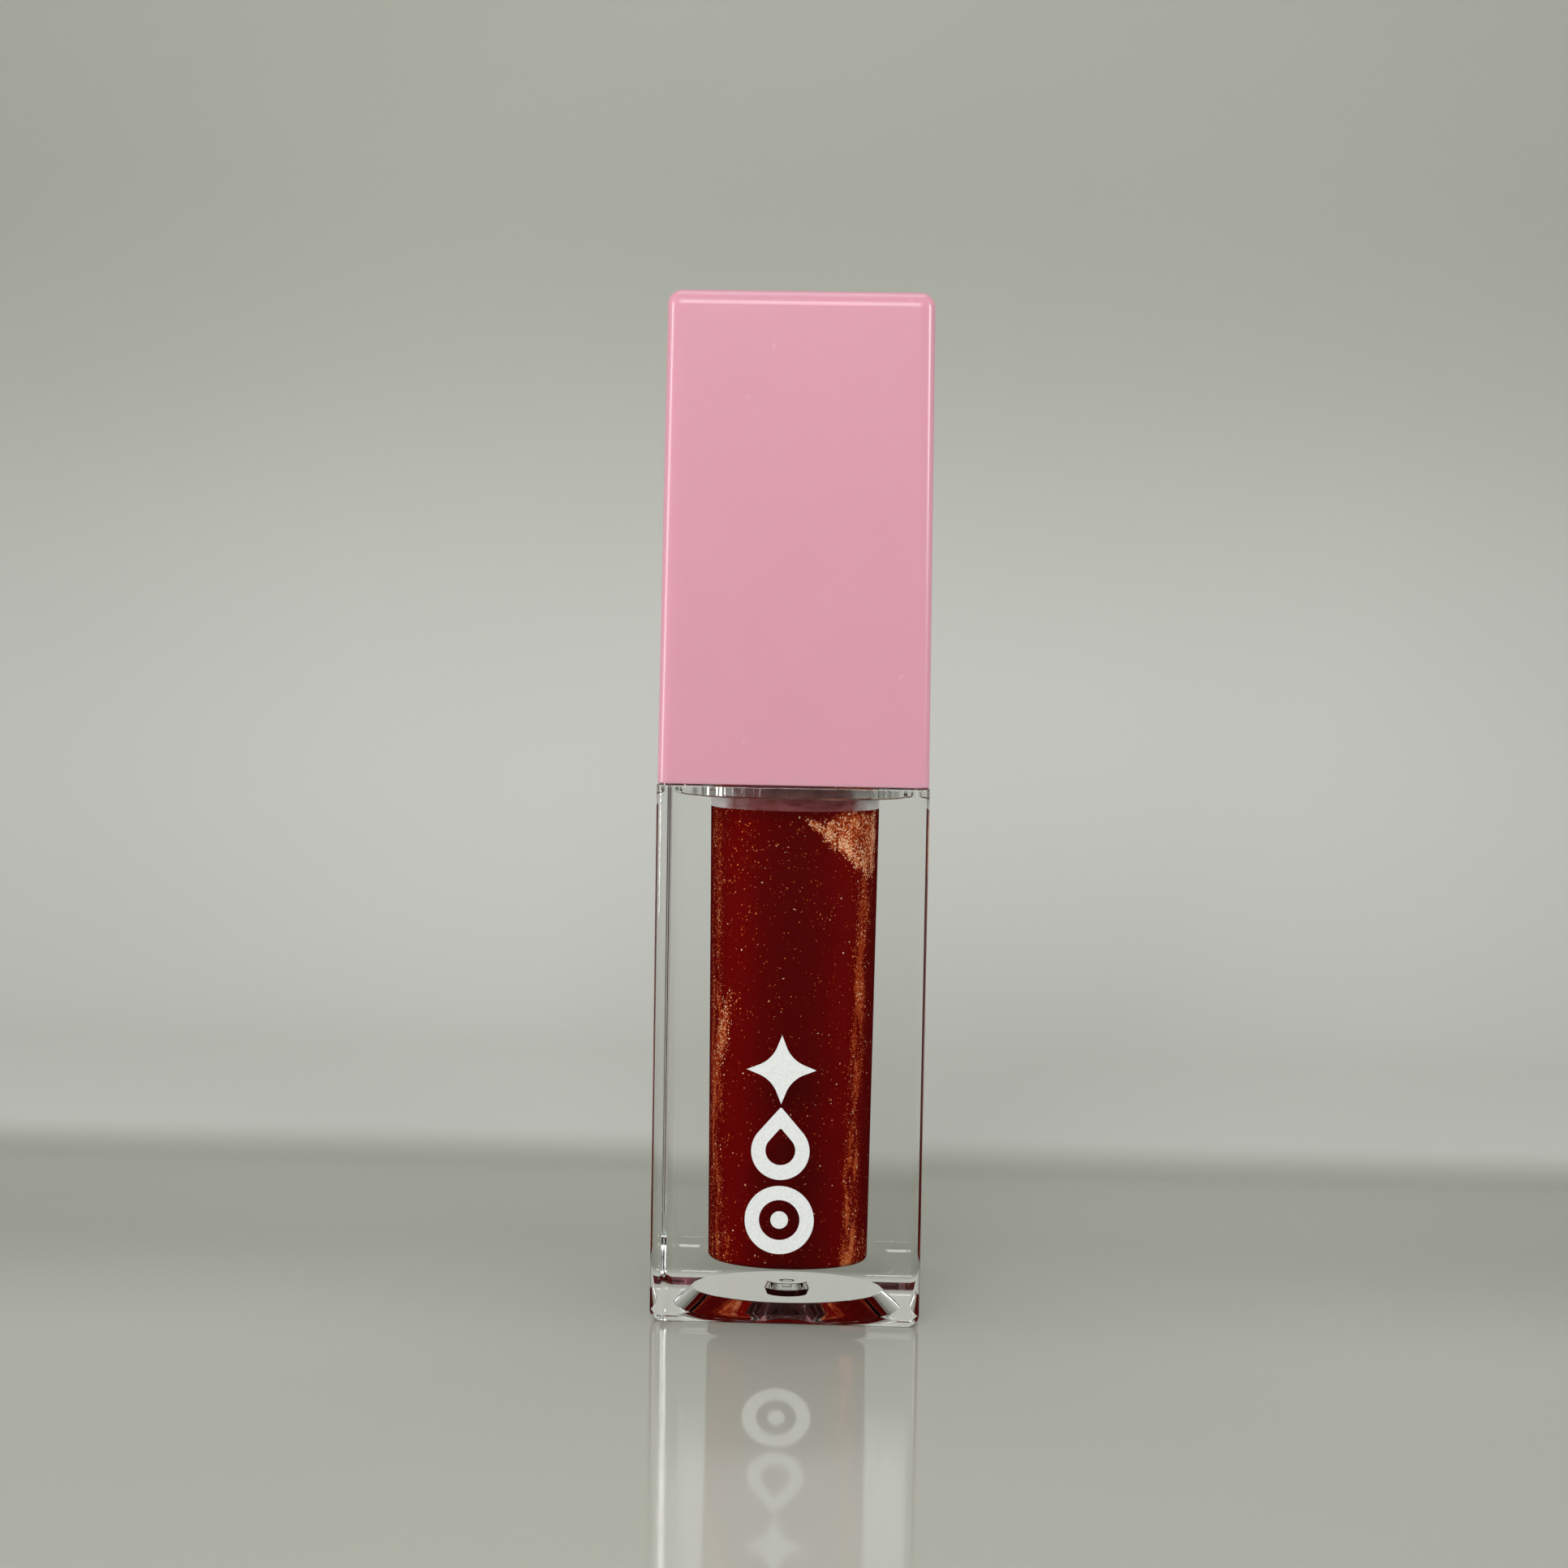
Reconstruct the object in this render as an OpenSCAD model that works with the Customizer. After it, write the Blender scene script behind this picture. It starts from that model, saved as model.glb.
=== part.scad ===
// Square lip gloss tube: a heavy-walled clear bottle with a round well of gloss,
// a wiper in its neck, and a square screw cap that carries the doe-foot wand.
// Millimetres. The origin is the centre of the base, +Z up, the printed face at -Y.

/* [Bottle] */
// Width and depth of the square bottle
body_w = 20; // [18:0.5:24]
// Height from the base to the rim under the cap
body_h = 40; // [34:1:60]
// Radius of the upright and bottom edges
edge_r = 0.9; // [0.5:0.1:1.5]
// Thickness of the clear base under the gloss
base_t = 3.6; // [3:0.1:6]

/* [Well and neck] */
// Diameter of the well at the neck
well_top_d = 12.6; // [11:0.1:12.8]
// Diameter of the well at its floor
well_floor_d = 12; // [10:0.1:12.2]
// Height of the neck above the bottle's rim
neck_h = 10.5; // [9:0.5:13]
// Lead of the neck thread
thread_lead = 3; // [2:0.5:4]
// Length of the neck thread, in turns
thread_turns = 1.75; // [1:0.25:2]

/* [Cap] */
// Width of the cap at its open end
cap_w = 19.9; // [17.9:0.1:24]
// Width of the cap at its closed end
cap_top_w = 19.34; // [17.4:0.02:23.4]
// Height of the outer cap
cap_h = 35.8; // [28:0.1:50]
// Wall thickness of the outer cap
cap_wall = 1.15; // [0.9:0.05:1.2]

/* [Wand] */
// Diameter of the wand's stem
stem_d = 4.4; // [3.6:0.1:4.4]
// Length of the flocked tip
tip_l = 13; // [10:0.5:16]

/* [Hidden] */
$fn = 96;

half = body_w / 2;
fit_gap = 0.05;          // running gap between pieces that move apart
eps = 0.01;              // overshoot of a cut past the face that it opens

// Shallow pocket in the rim, round the neck
pocket_r = 9.2;
pocket_t = 1;
pocket_z = body_h - pocket_t;

// Dished underside: a sloped ring that leads to a flat ceiling, with the gate well at its centre
dish_rim_r = 8.6;
dish_ceiling_r = 7.2;
dish_t = 1.3;
gate_well_r = 1.78;
gate_ceiling_r = 1.55;
gate_well_t = 0.5;
gate_stub_r = 0.55;
gate_stub_t = 0.3;

// Well
well_top_r = well_top_d / 2;
well_floor_r = well_floor_d / 2;
well_fillet = 0.4;

// Neck, the bead at its foot and its thread
neck_r = 7.1;
bead_r = 8.3;
bead_top_z = body_h + 0.4;
neck_top = body_h + neck_h;
thread_crest_r = 7.6;
thread_bite = 0.2;       // how far a ridge is rooted in its wall
thread_root_w = 1.3;
thread_crest_w = 0.6;
thread_z = body_h + 4;
thread_steps_per_turn = 36;

// Wand
stem_r = stem_d / 2;
stem_flange_r = 2.7;
stem_flange_t = 0.6;
spigot_r = 1.05;
spigot_l = 5;
tip_z = base_t + 1.2;    // lowest point of the flocked tip
tip_top_z = tip_z + tip_l;
tip_r = 2.4;
flock_t = 0.35;
tip_slant = 19;          // tilt of the doe-foot's face, in degrees
tip_root_z = tip_top_z - 4;

// Wiper
wiper_foot_z = body_h - 2.1;
wiper_wall = 0.8;
wiper_chamfer = 0.3;
wiper_flange_r = 7.05;
wiper_flange_t = 0.8;
wiper_lip_r = tip_r + 0.06;
wiper_lip_t = 0.45;
wiper_lip_z = body_h + 0.6;
wiper_cone_z = body_h + 5.2;
wiper_top = neck_top + wiper_flange_t;

// Collar, which is the threaded liner of the cap
collar_foot_z = body_h + 0.7;
collar_bore_r = 8;
collar_crest_r = 7.7;    // crest of the inner thread, just clear of the neck's
collar_foot_r = 8.68;
collar_top_r = 8.5;
washer_t = 0.8;
washer_r = 7.1;
washer_z = wiper_top + fit_gap;
collar_ceiling_z = washer_z + washer_t + fit_gap;
collar_ceiling_t = 1.4;
collar_top_z = collar_ceiling_z + collar_ceiling_t;
socket_r = 3.5;
socket_h = 8;
key_w = 1.2;
key_reach = 11.5;
key_z = body_h + 1.7;

// Outer cap
cap_z = body_h + 0.1;
cap_top_z = cap_z + cap_h;
cap_edge_r = 0.9;
cap_top_edge_r = 1.1;
cap_roof_t = 1.5;
cap_post_r = 4.6;
cap_post_wall = 1.05;

// Print
ink_t = 0.04;
print_x = -0.45;

// Radius of the tapered well at a height
function well_r(z) = well_floor_r + (well_top_r - well_floor_r) * (z - base_t) / (pocket_z - base_t);

// Points of a quarter circle, from angle a0 to a1
function arc(cx, cy, r, a0, a1, steps = 8) =
    [for (i = [0:steps]) let (a = a0 + (a1 - a0) * i / steps) [cx + r * cos(a), cy + r * sin(a)]];

// Block with one radius on its upright edges and on its bottom edges
module soft_block(w, h, r) {
    s = w / 2 - r;
    translate([-s, -w / 2, r]) cube([2 * s, w, h - r]);
    translate([-w / 2, -s, r]) cube([w, 2 * s, h - r]);
    translate([-s, -s, 0]) cube([2 * s, 2 * s, h]);
    for (x = [-s, s], y = [-s, s]) {
        translate([x, y, r]) cylinder(r = r, h = h - r);
        translate([x, y, r]) sphere(r = r);
    }
    for (a = [0:90:270])
        rotate([0, 0, a]) translate([-s, -s, r]) rotate([0, 90, 0]) cylinder(r = r, h = 2 * s);
}

// Helical ridge between two radii, either way round; the crest sinks into the root over a
// quarter turn at each end
module helix_ridge(r_root, r_crest, w_root, w_crest, lead, turns, z0) {
    n = round(turns * thread_steps_per_turn);
    run_out = thread_steps_per_turn / 4;
    rings = [for (i = [0:n]) let (
        a = 360 * i / thread_steps_per_turn,
        z = z0 + lead * a / 360,
        k = min(1, min(i, n - i) / run_out),
        rc = r_root + (r_crest - r_root) * max(0.08, k))
        [[r_root * cos(a), r_root * sin(a), z - w_root / 2],
         [rc * cos(a), rc * sin(a), z - w_crest / 2],
         [rc * cos(a), rc * sin(a), z + w_crest / 2],
         [r_root * cos(a), r_root * sin(a), z + w_root / 2]]];
    points = [for (ring = rings) each ring];
    sides = [for (i = [0:n - 1], j = [0:3]) let (
        a = 4 * i + j, b = 4 * i + (j + 1) % 4, c = b + 4, d = a + 4)
        each [[a, c, b], [a, d, c]]];
    ends = [[0, 1, 2], [0, 2, 3], [4 * n, 4 * n + 2, 4 * n + 1], [4 * n, 4 * n + 3, 4 * n + 2]];
    faces = concat(sides, ends);
    polyhedron(points = points, convexity = 10,
               faces = r_crest < r_root ? faces : [for (f = faces) [f[0], f[2], f[1]]]);
}

// The well as a solid, from its filleted floor up to a height; it is straight above the taper
module well_form(top_z) {
    f = well_fillet;
    rotate_extrude()
        polygon(concat(
            [[0, base_t]],
            arc(well_floor_r - f, base_t + f, f, -90, 0, 6),
            top_z > pocket_z ? [[well_top_r, pocket_z], [well_top_r, top_z]] : [[well_r(top_z), top_z]],
            [[0, top_z]]));
}

module bottle() {
    color("whitesmoke", 0.35) {
        difference() {
            union() {
                difference() {
                    soft_block(body_w, body_h, edge_r);
                    translate([0, 0, pocket_z]) cylinder(r = pocket_r, h = pocket_t + 1);
                }
                translate([0, 0, pocket_z - 1]) cylinder(r = neck_r, h = neck_top - pocket_z + 1);
                translate([0, 0, pocket_z - 1]) cylinder(r = bead_r, h = bead_top_z - pocket_z + 1);
                helix_ridge(neck_r - thread_bite, thread_crest_r, thread_root_w, thread_crest_w,
                            thread_lead, thread_turns, thread_z);
            }
            well_form(neck_top + 1);
            underside_cut();
        }
        translate([0, 0, dish_t + gate_well_t - gate_stub_t]) cylinder(r = gate_stub_r, h = gate_stub_t + eps);
    }
}

// Dish and gate well, cut into the base
module underside_cut() {
    slope = (dish_rim_r - dish_ceiling_r) / dish_t;
    rotate_extrude()
        polygon([[0, -1], [dish_rim_r + slope, -1], [dish_ceiling_r, dish_t], [gate_well_r, dish_t],
                 [gate_ceiling_r, dish_t + gate_well_t], [0, dish_t + gate_well_t]]);
}

// The gloss, with a straight channel that the wand's tip draws out through
module gloss_fill() {
    color("darkred")
        difference() {
            well_form(wiper_foot_z);
            translate([0, 0, tip_z - 0.1]) cylinder(r = tip_r + 0.06, h = body_h);
        }
}

// Sleeve with a flange on the neck and a thin cone that wipes the stem
module wiper() {
    ro = well_r(pocket_z) - 0.02;
    ri = ro - wiper_wall;
    foot_ro = well_r(wiper_foot_z) - 0.02;
    color("lavenderblush")
        rotate_extrude()
            polygon([
                [foot_ro - wiper_wall, wiper_foot_z], [foot_ro - wiper_chamfer, wiper_foot_z],
                [foot_ro, wiper_foot_z + wiper_chamfer],
                [ro, pocket_z], [ro, neck_top], [wiper_flange_r, neck_top],
                [wiper_flange_r, wiper_top], [ri, wiper_top], [ri, wiper_cone_z],
                [wiper_lip_r + wiper_lip_t, wiper_lip_z + wiper_lip_t], [wiper_lip_r + wiper_lip_t, wiper_lip_z],
                [wiper_lip_r, wiper_lip_z], [wiper_lip_r, wiper_lip_z - wiper_lip_t],
                [wiper_lip_r + 2 * wiper_lip_t, wiper_lip_z - wiper_lip_t],
                [ri, wiper_cone_z - 1.6]]);
}

// Four-pointed star with hollow sides
module star(r) {
    difference() {
        square(1.2 * r, center = true);
        for (a = [45:90:315]) rotate(a) translate([r * sqrt(2), 0]) circle(r = 0.93 * r, $fn = 64);
    }
    for (a = [0:90:270]) rotate(a) polygon([[0.5 * r, -0.2 * r], [r, 0], [0.5 * r, 0.2 * r]]);
}

// Drop with a round foot and a point above
module drop(r, h) {
    hull() {
        circle(r = r, $fn = 48);
        translate([0, h]) circle(r = 0.12, $fn = 16);
    }
}

// Screen-printed ornament on the front face: a star, an open drop and a ring round a dot
module front_print() {
    color("white")
        translate([print_x, -half, 0]) rotate([90, 0, 0]) linear_extrude(height = ink_t) {
            translate([0, 19.2]) star(2.55);
            translate([0, 13.15]) difference() {
                drop(2.15, 3.1);
                translate([0, 0.05]) drop(1.1, 1.5);
            }
            translate([0, 8]) difference() {
                circle(r = 2.55, $fn = 64);
                circle(r = 1.5, $fn = 64);
            }
            translate([0, 8]) circle(r = 0.65, $fn = 48);
        }
}

module seal_washer() {
    color("ivory")
        translate([0, 0, washer_z]) difference() {
            cylinder(r = washer_r, h = washer_t);
            translate([0, 0, -1]) cylinder(r = stem_flange_r + 0.1, h = washer_t + 2);
        }
}

// Threaded liner: skirt, ceiling, stem socket and four corner keys
module inner_collar() {
    color("palevioletred") {
        helix_ridge(collar_bore_r + thread_bite, collar_crest_r, thread_root_w, thread_crest_w,
                    thread_lead, thread_turns, thread_z - 1.15);
        difference() {
            union() {
                rotate_extrude()
                    polygon([[0, collar_foot_z], [collar_foot_r, collar_foot_z], [collar_top_r, collar_top_z],
                             [0, collar_top_z]]);
                translate([0, 0, collar_top_z - eps]) cylinder(r = socket_r, h = socket_h);
                for (a = [45:90:315]) rotate([0, 0, a]) translate([collar_top_r - 1, -key_w / 2, key_z])
                    cube([key_reach - collar_top_r + 1, key_w, collar_top_z - key_z]);
            }
            translate([0, 0, collar_foot_z - 1]) cylinder(r = collar_bore_r, h = collar_ceiling_z - collar_foot_z + 1);
            translate([0, 0, collar_ceiling_z - 1]) cylinder(r = stem_r, h = socket_h + 6);
        }
    }
}

// Drafted block with rounded upright edges and a rounded roof
module drafted_block(w0, w1, z0, z1, r, r_top) {
    hull() {
        for (x = [-1, 1], y = [-1, 1]) {
            translate([x * (w0 / 2 - r), y * (w0 / 2 - r), z0]) cylinder(r = r, h = 0.02, $fn = 32);
            translate([x * (w1 / 2 - r_top), y * (w1 / 2 - r_top), z1 - r_top]) sphere(r = r_top, $fn = 32);
        }
    }
}

module cap_shell() {
    color("pink") {
        difference() {
            drafted_block(cap_w, cap_top_w, cap_z, cap_top_z, cap_edge_r, cap_top_edge_r);
            drafted_block(cap_w - 2 * cap_wall, cap_top_w - 2 * cap_wall, cap_z - 0.01,
                          cap_top_z - cap_roof_t, 0.4, 0.6);
        }
        // post under the roof that the stem's socket centres in
        translate([0, 0, collar_top_z + socket_h - 3]) difference() {
            cylinder(r = cap_post_r, h = cap_top_z - cap_roof_t + 0.2 - (collar_top_z + socket_h - 3));
            translate([0, 0, -1]) cylinder(r = cap_post_r - cap_post_wall, h = 8);
        }
    }
}

module wand_stem() {
    color("mistyrose") {
        translate([0, 0, tip_top_z]) cylinder(r = stem_r, h = collar_top_z + socket_h - 1 - tip_top_z);
        translate([0, 0, collar_ceiling_z - stem_flange_t]) cylinder(r = stem_flange_r, h = stem_flange_t);
        translate([0, 0, tip_top_z - spigot_l]) cylinder(r = spigot_r, h = spigot_l + eps);
        translate([0, 0, tip_top_z - spigot_l + 1.2])
            cylinder(r1 = spigot_r, r2 = spigot_r + 0.2, h = 0.8);
    }
}

// Doe-foot: a round root that thins to a slanted, rounded paddle; grow thickens it all over
module doe_foot(grow) {
    r = tip_r - flock_t + grow;
    difference() {
        hull() {
            translate([0, 0, tip_root_z]) cylinder(r = r, h = tip_top_z - tip_root_z, $fn = 32);
            translate([0, 0.35, tip_z + flock_t + 1.3]) scale([1, 0.8, 1]) sphere(r = 1.3 + grow, $fn = 32);
        }
        translate([-5, 0, tip_z - 1]) rotate([tip_slant - 5, 0, 0])
            translate([0, -10 - 1.0 - grow, -1]) cube([10, 10, 8.5]);
    }
}

module tip_core() {
    color("linen")
        difference() {
            doe_foot(0);
            translate([0, 0, tip_top_z - spigot_l - 0.3]) cylinder(r = spigot_r + 0.25, h = spigot_l + 1);
        }
}

module tip_flock() {
    color("brown")
        difference() {
            doe_foot(flock_t);
            doe_foot(0.005);
        }
}

bottle();
gloss_fill();
wiper();
front_print();
seal_washer();
inner_collar();
cap_shell();
wand_stem();
tip_core();
tip_flock();
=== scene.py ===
# Looks for the lip gloss tube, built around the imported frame. Lengths below are written in
# millimetres and scaled by MM.
import functools
import math

import bmesh
import bpy
from mathutils import Matrix, Vector


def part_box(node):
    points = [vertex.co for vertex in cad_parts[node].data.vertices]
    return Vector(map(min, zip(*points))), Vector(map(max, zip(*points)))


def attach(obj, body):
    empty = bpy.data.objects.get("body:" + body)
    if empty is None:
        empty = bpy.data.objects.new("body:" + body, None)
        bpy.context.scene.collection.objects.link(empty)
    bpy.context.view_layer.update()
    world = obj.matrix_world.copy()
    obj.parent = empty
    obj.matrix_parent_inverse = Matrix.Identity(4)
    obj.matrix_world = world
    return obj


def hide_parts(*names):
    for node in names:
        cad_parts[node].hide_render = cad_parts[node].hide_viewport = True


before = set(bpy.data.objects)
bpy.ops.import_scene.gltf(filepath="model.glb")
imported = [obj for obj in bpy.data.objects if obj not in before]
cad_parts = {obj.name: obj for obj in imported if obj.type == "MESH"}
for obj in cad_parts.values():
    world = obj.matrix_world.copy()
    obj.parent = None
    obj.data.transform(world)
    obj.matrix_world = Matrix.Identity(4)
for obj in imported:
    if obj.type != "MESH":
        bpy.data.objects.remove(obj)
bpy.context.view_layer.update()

MM = 0.001
scene = bpy.context.scene


def node_box(name):
    """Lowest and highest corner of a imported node, in mm."""
    lo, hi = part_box(name)
    return [v / MM for v in lo], [v / MM for v in hi]


# ---------------------------------------------------------------- dimensions, from the frame
BOTTLE_HI = node_box("bottle")[1]
CAP_LO, CAP_HI = node_box("cap_shell")
GLOSS_LO, GLOSS_HI = node_box("gloss_fill")
WIPER_HI = node_box("wiper")[1]
COLLAR_HI = node_box("inner_collar")[1]
TIP_LO, TIP_HI = node_box("tip_flock")

HALF = BOTTLE_HI[0]                            # half the width of the body
NECK_TOP = BOTTLE_HI[2]
CAP_GAP = 0.1
RIM = CAP_LO[2] - CAP_GAP                      # top of the body's square part
BASE_T = GLOSS_LO[2]                           # thickness of the bottom
GLOSS_TOP = GLOSS_HI[2]

# dimensions that the frame's boxes don't give, as in the part's source
EDGE, FOOT_EDGE = 0.9, 0.9                     # radius of the upright edges and of the bottom edge
FLANGE_R, FLANGE_TOP = 8.3, RIM + 0.4          # bead at the foot of the neck
POCKET_R, POCKET_Z = 9.2, RIM - 1              # pocket in the shoulder
NECK_R, CREST_R = 7.1, 7.6
LEAD, TURNS, THREAD_Z = 3.0, 1.75, RIM + 4
WELL_TOP, WELL_FLOOR, WELL_FILLET = 6.3, 6.0, 0.4
DISH_RIM, DISH_CEIL, DISH_T = 8.6, 7.2, 1.3    # cone under the base
GATE_R, GATE_CEIL, GATE_T = 1.78, 1.55, 0.5    # well of the gate mark
STUB_R, STUB_T = 0.55, 0.3                     # stub in its middle
CAP_TOP_HALF = 9.67                            # half the width of the cap at the top of its taper
CAP_EDGE = 0.9
CAP_WALL, CAP_ROOF, CAP_ROUND = 1.15, 1.5, 1.1
WIPER_WALL = 0.8
LIP_SLACK = 0.06                               # gap between the wand and what surrounds it
PRESS = 0.02                                   # how far gel and wiper stand inside the bottle's wall

# layout of a ring of the square body
ARC_STEPS, FLAT_STEPS = 10, 36
SUPPORT = 0.02                                 # distance of the points that keep flats flat
ON_AXIS = 1e-6


def well_r(z):
    """Radius of the well at a height: it widens evenly up to the pocket."""
    return WELL_FLOOR + (WELL_TOP - WELL_FLOOR) * min(1, max(0, (z - BASE_T) / (POCKET_Z - BASE_T)))


# ---------------------------------------------------------------- mesh helpers
def mesh_object(name, mesh, material, body, sharp):
    """A smooth-shaded piece on a body. Edges sharper than the given degrees stay sharp."""
    verts, faces = mesh
    me = bpy.data.meshes.new(name)
    me.from_pydata([(x * MM, y * MM, z * MM) for x, y, z in verts], [], faces)
    me.validate()
    bm = bmesh.new()
    bm.from_mesh(me)
    bmesh.ops.remove_doubles(bm, verts=bm.verts, dist=2e-6)
    bmesh.ops.dissolve_degenerate(bm, edges=bm.edges, dist=1e-7)
    bm.to_mesh(me)
    bm.free()
    for p in me.polygons:
        p.use_smooth = True
    ob = bpy.data.objects.new(name, me)
    scene.collection.objects.link(ob)
    me.set_sharp_from_angle(angle=math.radians(sharp))
    me.materials.append(material)
    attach(ob, body)
    return ob


def rounded(points, radii, steps=5):
    """A polyline with its corners rounded, and a point just before and after each arc that keeps the
    flats flat under smooth shading. radii maps a point's index to its radius; others stay sharp."""
    out = []
    for i, p in enumerate(points):
        r = radii.get(i, 0)
        if r <= 0 or i in (0, len(points) - 1):
            out.append(tuple(p))
            continue
        a, b, c = Vector(points[i - 1]), Vector(p), Vector(points[i + 1])
        u, v = (a - b).normalized(), (c - b).normalized()
        half = math.acos(max(-1, min(1, u.dot(v)))) / 2
        reach = min(r / math.tan(half), (a - b).length * 0.45, (c - b).length * 0.45)
        r = reach * math.tan(half)
        centre = b + (u + v).normalized() * (r / math.sin(half))
        start, end = b + u * reach, b + v * reach
        spoke = start - centre
        total = spoke.angle_signed(end - centre)
        out.append(tuple(start + u * min(SUPPORT, 0.3 * reach)))
        for k in range(steps + 1):
            t = -total * k / steps
            co, si = math.cos(t), math.sin(t)
            out.append((centre.x + spoke.x * co - spoke.y * si, centre.y + spoke.x * si + spoke.y * co))
        out.append(tuple(end + v * min(SUPPORT, 0.3 * reach)))
    return out


def square_ring(half, r, z):
    """Points round a square with rounded corners, always the same number of them."""
    s = half - r
    side = [(half, y) for y in [-s, -s + SUPPORT]
            + [-s + 2 * s * k / FLAT_STEPS for k in range(1, FLAT_STEPS)] + [s - SUPPORT]]
    for k in range(ARC_STEPS):
        t = math.pi / 2 * k / ARC_STEPS
        side.append((s + r * math.cos(t), s + r * math.sin(t)))
    ring = []
    for quarter in range(4):
        turn = quarter * math.pi / 2
        co, si = math.cos(turn), math.sin(turn)
        ring += [(x * co - y * si, x * si + y * co, z) for x, y in side]
    return ring


def circle_ring(r, z, angles):
    return [(r * math.cos(a), r * math.sin(a), z) for a in angles]


def even_angles(count):
    return [2 * math.pi * k / count for k in range(count)]


def skin(rings, closed=False):
    """Joins rings of equal count into quads. The last ring closes on the first, or else both end
    rings close on a centre vertex."""
    m, n = len(rings[0]), len(rings)
    verts = [p for ring in rings for p in ring]
    faces = []
    for i in range(n if closed else n - 1):
        j = (i + 1) % n
        for k in range(m):
            q = (k + 1) % m
            faces.append((i * m + k, i * m + q, j * m + q, j * m + k))
    if closed:
        return verts, faces
    for ring, base, flip in ((rings[0], 0, True), (rings[-1], (n - 1) * m, False)):
        centre = len(verts)
        verts.append(tuple(sum(p[axis] for p in ring) / m for axis in range(3)))
        for k in range(m):
            q = (k + 1) % m
            faces.append((centre, base + q, base + k) if flip else (centre, base + k, base + q))
    return verts, faces


def lathe(profile, segments):
    """Turns a closed (r, z) outline about Z. The outline runs anticlockwise seen with r to the right
    and z up, so that the normals point out."""
    return skin([circle_ring(r, z, even_angles(segments)) for r, z in profile], closed=True)


# ---------------------------------------------------------------- node helpers
def new_material(name):
    m = bpy.data.materials.new(name)
    m.use_nodes = True
    m.node_tree.nodes.clear()
    return m, m.node_tree


def feed(nt, sock, value):
    """Links a socket to an output, or sets it to a plain value."""
    if isinstance(value, bpy.types.NodeSocket):
        nt.links.new(value, sock)
    else:
        sock.default_value = value


def node(nt, kind, **inputs):
    """A shader node. Keys name its inputs: Base_Color by name, i2 by number, _blend_type a property."""
    n = nt.nodes.new(kind)
    for key, value in inputs.items():
        if key.startswith("_"):
            setattr(n, key[1:], value)
        elif key[0] == "i" and key[1:].isdigit():
            feed(nt, n.inputs[int(key[1:])], value)
        else:
            feed(nt, n.inputs[key.replace("_", " ")], value)
    return n


def out(nt, shader):
    o = nt.nodes.new("ShaderNodeOutputMaterial")
    nt.links.new(shader, o.inputs["Surface"])


def math_node(nt, op, *values, clamp=False):
    n = node(nt, "ShaderNodeMath", _operation=op, _use_clamp=clamp)
    for sock, value in zip(n.inputs, values):
        feed(nt, sock, value)
    return n.outputs[0]


def ramp(nt, fac, stops):
    n = nt.nodes.new("ShaderNodeValToRGB")
    el = n.color_ramp.elements
    while len(el) < len(stops):
        el.new(0.5)
    for e, (p, c) in zip(el, stops):
        e.position = p
        e.color = c
    nt.links.new(fac, n.inputs[0])
    return n.outputs[0]


def mix_colour(nt, fac, a, b):
    return node(nt, "ShaderNodeMix", _data_type="RGBA", i0=fac, i6=a, i7=b).outputs[2]


def srgb(r, g, b):
    def f(v):
        v /= 255
        return v / 12.92 if v <= 0.04045 else ((v + 0.055) / 1.055) ** 2.4
    return (f(r), f(g), f(b), 1)


def coords(nt):
    """Object coordinates in mm."""
    in_metres = nt.nodes.new("ShaderNodeTexCoord").outputs["Object"]
    return node(nt, "ShaderNodeMapping", Vector=in_metres, Scale=(1 / MM,) * 3).outputs[0]


def axes(nt, co):
    return node(nt, "ShaderNodeSeparateXYZ", Vector=co).outputs


def smooth(nt, v, lo, hi, to_lo=0.0, to_hi=1.0):
    """Smooth step of v from lo to hi; it falls instead where lo is above hi."""
    n = node(nt, "ShaderNodeMapRange", _interpolation_type="SMOOTHSTEP", Value=v)
    for k, x in (("From Min", lo), ("From Max", hi), ("To Min", to_lo), ("To Max", to_hi)):
        n.inputs[k].default_value = x
    return n.outputs[0]


def noise(nt, co, scale, detail=2.0, distortion=0.0, stretch=None):
    if stretch:
        co = node(nt, "ShaderNodeMapping", Vector=co, Scale=stretch).outputs[0]
    return node(nt, "ShaderNodeTexNoise", Vector=co, Scale=scale, Detail=detail,
                Distortion=distortion).outputs["Fac"]


def cells(nt, co, scale):
    """Three random numbers for each cell of a grid of flakes."""
    v = node(nt, "ShaderNodeTexVoronoi", Vector=co, Scale=scale)
    return node(nt, "ShaderNodeSeparateColor", i0=v.outputs["Color"]).outputs


def bump(nt, height, strength, distance):
    """Normal that rises and falls with a height; the distance is in metres."""
    return node(nt, "ShaderNodeBump", Strength=strength, Distance=distance, Height=height).outputs[0]


def scatter(b, weight, depth):
    """Gives a plastic some light from inside, reddest where it has gone deepest."""
    b.inputs["Subsurface Weight"].default_value = weight
    b.inputs["Subsurface Radius"].default_value = (1.0, 0.5, 0.5)
    b.inputs["Subsurface Scale"].default_value = depth


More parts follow.
